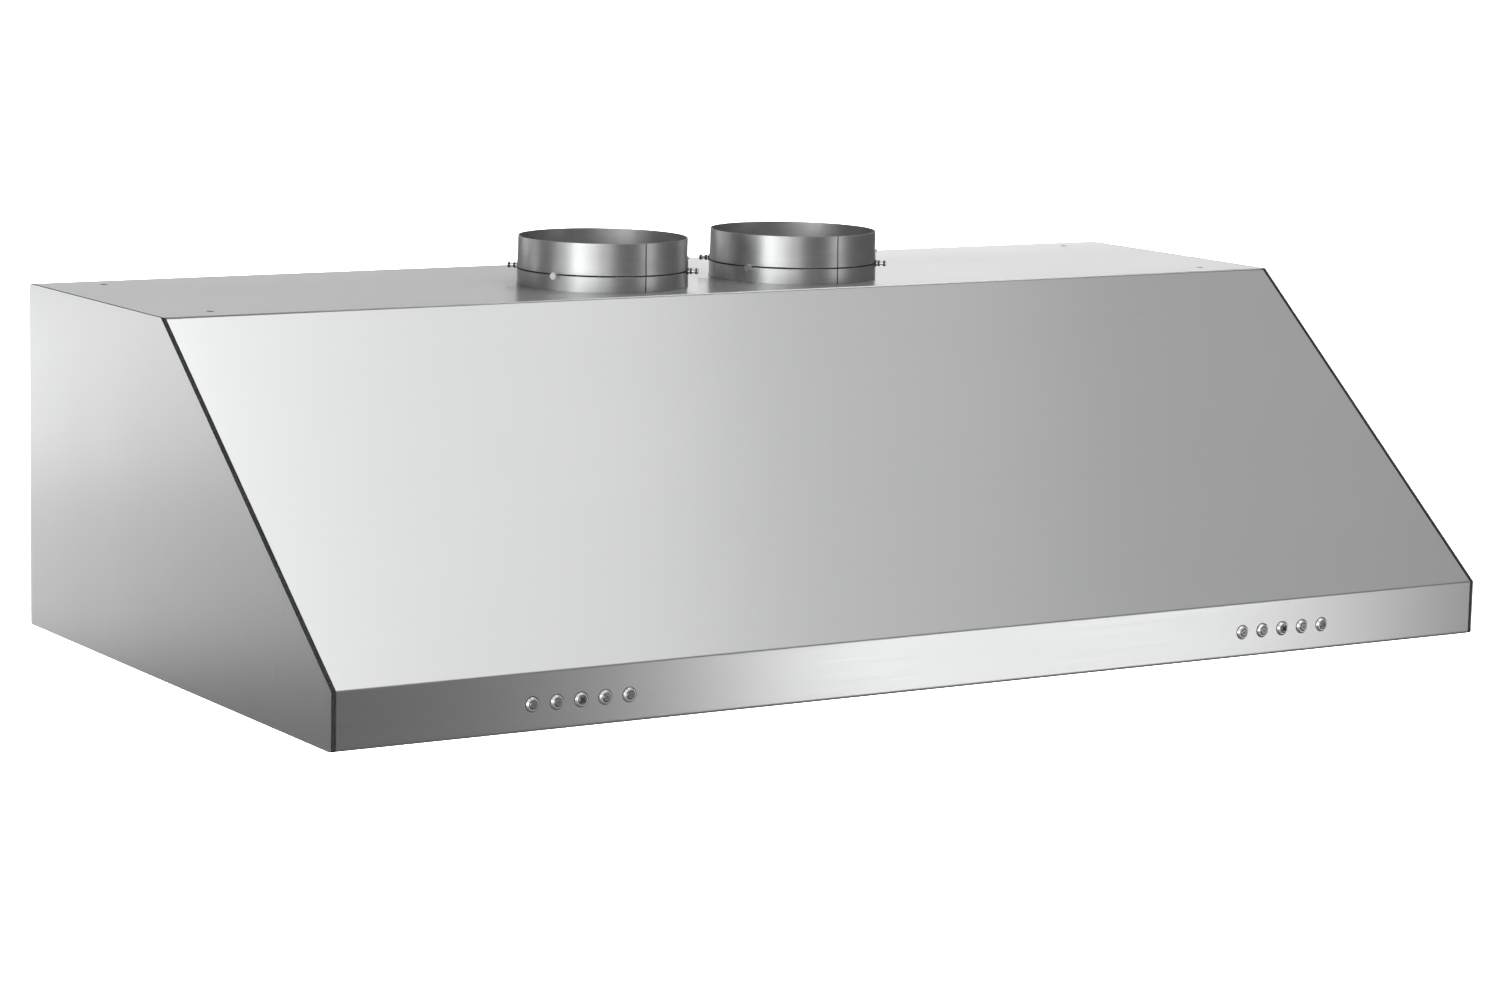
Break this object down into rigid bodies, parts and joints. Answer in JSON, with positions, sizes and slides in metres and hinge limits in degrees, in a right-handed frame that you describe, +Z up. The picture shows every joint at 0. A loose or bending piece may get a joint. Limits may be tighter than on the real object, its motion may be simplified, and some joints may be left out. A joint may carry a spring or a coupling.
{
  "type": "under cabinet range hood",
  "caption": "Stainless under cabinet range hood with a sloped front, round duct collars with dampers, push buttons, baffle filters and centrifugal blowers.",
  "frame": {"origin": "centre of the underside, on the plane of the lowest edges", "axes": "+X along the hood to the cook's right, -Y to the cook, +Y to the wall, +Z up to the cabinet"},
  "size_m": [1.2, 0.6234, 0.36],
  "materials": {
    "brushed_shell": "fine lengthwise brushed grain, satin",
    "top_steel": "fine brushed grain, satin",
    "galvanised_back": "mill finish",
    "black_seal": "matt sealant",
    "inner_steel": "brushed, a little duller than outside",
    "screw_steel": "zinc plated",
    "polished_trim": "polished",
    "lens_glass": "clear, faint diffusing dimples",
    "reflector_aluminium": "bright pressed",
    "collar_steel": "brushed round the tube",
    "axle_steel": "ground rod",
    "flap_steel": "mill finish sheet",
    "galvanised": "galvanised with a faint spangle",
    "motor_paint": "semi-gloss black",
    "wheel_aluminium": "bare pressed",
    "black_plastic": "fine texture",
    "button_chrome": "polished cap",
    "bezel_chrome": "polished ring",
    "board_green": "solder resist",
    "filter_steel": "brushed lengthwise",
    "handle_chrome": "polished wire",
    "lead_rubber": "smooth jacket",
    "capacitor_white": "smooth can"
  },
  "bodies": {
    "hood": {"front_panel": "brushed_shell", "side_panel_left": "brushed_shell", "side_panel_right": "brushed_shell", "top_panel": "top_steel", "back_panel": "galvanised_back", "corner_seals": "black_seal", "grease_trough": "inner_steel", "light_panel": "inner_steel", "panel_screws": "screw_steel", "lamp_bezels": "polished_trim", "lamp_lenses": "lens_glass", "lamp_cups": "reflector_aluminium", "duct_collar_left": "collar_steel", "damper_axle_left": "axle_steel", "blower_housing_left": "galvanised", "motor_left": "motor_paint", "switch_module_left": "black_plastic", "duct_collar_right": "collar_steel", "damper_axle_right": "axle_steel", "blower_housing_right": "galvanised", "motor_right": "motor_paint", "switch_module_right": "black_plastic", "axle_end_clips": "black_plastic", "collar_fasteners": "screw_steel", "inlet_rings": "galvanised", "motor_brackets": "galvanised", "run_capacitors": "capacitor_white", "button_bezels": "bezel_chrome", "switch_boards": "board_green", "filter_catches": "screw_steel", "junction_box": "galvanised", "junction_box_cover": "galvanised", "motor_leads": "lead_rubber"},
    "button_left_1": {"button_left_1": "button_chrome"},
    "button_left_2": {"button_left_2": "button_chrome"},
    "button_left_3": {"button_left_3": "button_chrome"},
    "button_left_4": {"button_left_4": "button_chrome"},
    "button_left_5": {"button_left_5": "button_chrome"},
    "button_right_1": {"button_right_1": "button_chrome"},
    "button_right_2": {"button_right_2": "button_chrome"},
    "button_right_3": {"button_right_3": "button_chrome"},
    "button_right_4": {"button_right_4": "button_chrome"},
    "button_right_5": {"button_right_5": "button_chrome"},
    "damper_flap_left_front": {"damper_flap_left_front": "flap_steel"},
    "damper_flap_left_rear": {"damper_flap_left_rear": "flap_steel"},
    "damper_flap_right_front": {"damper_flap_right_front": "flap_steel"},
    "damper_flap_right_rear": {"damper_flap_right_rear": "flap_steel"},
    "fan_wheel_left": {"impeller_left": "wheel_aluminium", "motor_shaft_left": "axle_steel"},
    "fan_wheel_right": {"impeller_right": "wheel_aluminium", "motor_shaft_right": "axle_steel"},
    "baffle_filter_1": {"filter_frame_1": "filter_steel", "filter_baffles_1": "filter_steel"},
    "filter_handle_1": {"filter_handle_1": "handle_chrome"},
    "baffle_filter_2": {"filter_frame_2": "filter_steel", "filter_baffles_2": "filter_steel"},
    "filter_handle_2": {"filter_handle_2": "handle_chrome"},
    "baffle_filter_3": {"filter_frame_3": "filter_steel", "filter_baffles_3": "filter_steel"},
    "filter_handle_3": {"filter_handle_3": "handle_chrome"}
  },
  "joints": [
    {"name": "button_left_1_press", "type": "slide", "parent": "hood", "child": "button_left_1", "axis": [0, 1, 0], "range_m": [0, 0.002], "stiffness_N_per_m": 400, "springref_m": -0.0005},
    {"name": "button_left_2_press", "type": "slide", "parent": "hood", "child": "button_left_2", "axis": [0, 1, 0], "range_m": [0, 0.002], "stiffness_N_per_m": 400, "springref_m": -0.0005},
    {"name": "button_left_3_press", "type": "slide", "parent": "hood", "child": "button_left_3", "axis": [0, 1, 0], "range_m": [0, 0.002], "stiffness_N_per_m": 400, "springref_m": -0.0005},
    {"name": "button_left_4_press", "type": "slide", "parent": "hood", "child": "button_left_4", "axis": [0, 1, 0], "range_m": [0, 0.002], "stiffness_N_per_m": 400, "springref_m": -0.0005},
    {"name": "button_left_5_press", "type": "slide", "parent": "hood", "child": "button_left_5", "axis": [0, 1, 0], "range_m": [0, 0.002], "stiffness_N_per_m": 400, "springref_m": -0.0005},
    {"name": "button_right_1_press", "type": "slide", "parent": "hood", "child": "button_right_1", "axis": [0, 1, 0], "range_m": [0, 0.002], "stiffness_N_per_m": 400, "springref_m": -0.0005},
    {"name": "button_right_2_press", "type": "slide", "parent": "hood", "child": "button_right_2", "axis": [0, 1, 0], "range_m": [0, 0.002], "stiffness_N_per_m": 400, "springref_m": -0.0005},
    {"name": "button_right_3_press", "type": "slide", "parent": "hood", "child": "button_right_3", "axis": [0, 1, 0], "range_m": [0, 0.002], "stiffness_N_per_m": 400, "springref_m": -0.0005},
    {"name": "button_right_4_press", "type": "slide", "parent": "hood", "child": "button_right_4", "axis": [0, 1, 0], "range_m": [0, 0.002], "stiffness_N_per_m": 400, "springref_m": -0.0005},
    {"name": "button_right_5_press", "type": "slide", "parent": "hood", "child": "button_right_5", "axis": [0, 1, 0], "range_m": [0, 0.002], "stiffness_N_per_m": 400, "springref_m": -0.0005},
    {"name": "damper_left_front_swing", "type": "hinge", "parent": "hood", "child": "damper_flap_left_front", "pos_m": [-0.105, 0.1267, 0.33], "axis": [-0.766, 0.6428, 0], "range_deg": [0, 78]},
    {"name": "damper_left_rear_swing", "type": "hinge", "parent": "hood", "child": "damper_flap_left_rear", "pos_m": [-0.105, 0.1267, 0.33], "axis": [0.766, -0.6428, 0], "range_deg": [0, 78]},
    {"name": "damper_right_front_swing", "type": "hinge", "parent": "hood", "child": "damper_flap_right_front", "pos_m": [0.105, 0.1267, 0.33], "axis": [-0.766, 0.6428, 0], "range_deg": [0, 78]},
    {"name": "damper_right_rear_swing", "type": "hinge", "parent": "hood", "child": "damper_flap_right_rear", "pos_m": [0.105, 0.1267, 0.33], "axis": [0.766, -0.6428, 0], "range_deg": [0, 78]},
    {"name": "fan_left_spin", "type": "hinge", "parent": "hood", "child": "fan_wheel_left", "pos_m": [-0.105, 0.16488, 0.213], "axis": [1, 0, 0], "continuous": true},
    {"name": "fan_right_spin", "type": "hinge", "parent": "hood", "child": "fan_wheel_right", "pos_m": [0.105, 0.16488, 0.213], "axis": [1, 0, 0], "continuous": true},
    {"name": "filter_1_drop", "type": "hinge", "parent": "hood", "child": "baffle_filter_1", "pos_m": [-0.382, 0.2367, 0.045], "axis": [1, 0, 0], "range_deg": [0, 40]},
    {"name": "handle_1_swing", "type": "hinge", "parent": "baffle_filter_1", "child": "filter_handle_1", "pos_m": [-0.382, -0.14539, 0.09264], "axis": [1, 0, 0], "range_deg": [-75, 75]},
    {"name": "filter_2_drop", "type": "hinge", "parent": "hood", "child": "baffle_filter_2", "pos_m": [0, 0.2367, 0.045], "axis": [1, 0, 0], "range_deg": [0, 40]},
    {"name": "handle_2_swing", "type": "hinge", "parent": "baffle_filter_2", "child": "filter_handle_2", "pos_m": [0, -0.14539, 0.09264], "axis": [1, 0, 0], "range_deg": [-75, 75]},
    {"name": "filter_3_drop", "type": "hinge", "parent": "hood", "child": "baffle_filter_3", "pos_m": [0.382, 0.2367, 0.045], "axis": [1, 0, 0], "range_deg": [0, 40]},
    {"name": "handle_3_swing", "type": "hinge", "parent": "baffle_filter_3", "child": "filter_handle_3", "pos_m": [0.382, -0.14539, 0.09264], "axis": [1, 0, 0], "range_deg": [-75, 75]}
  ]
}
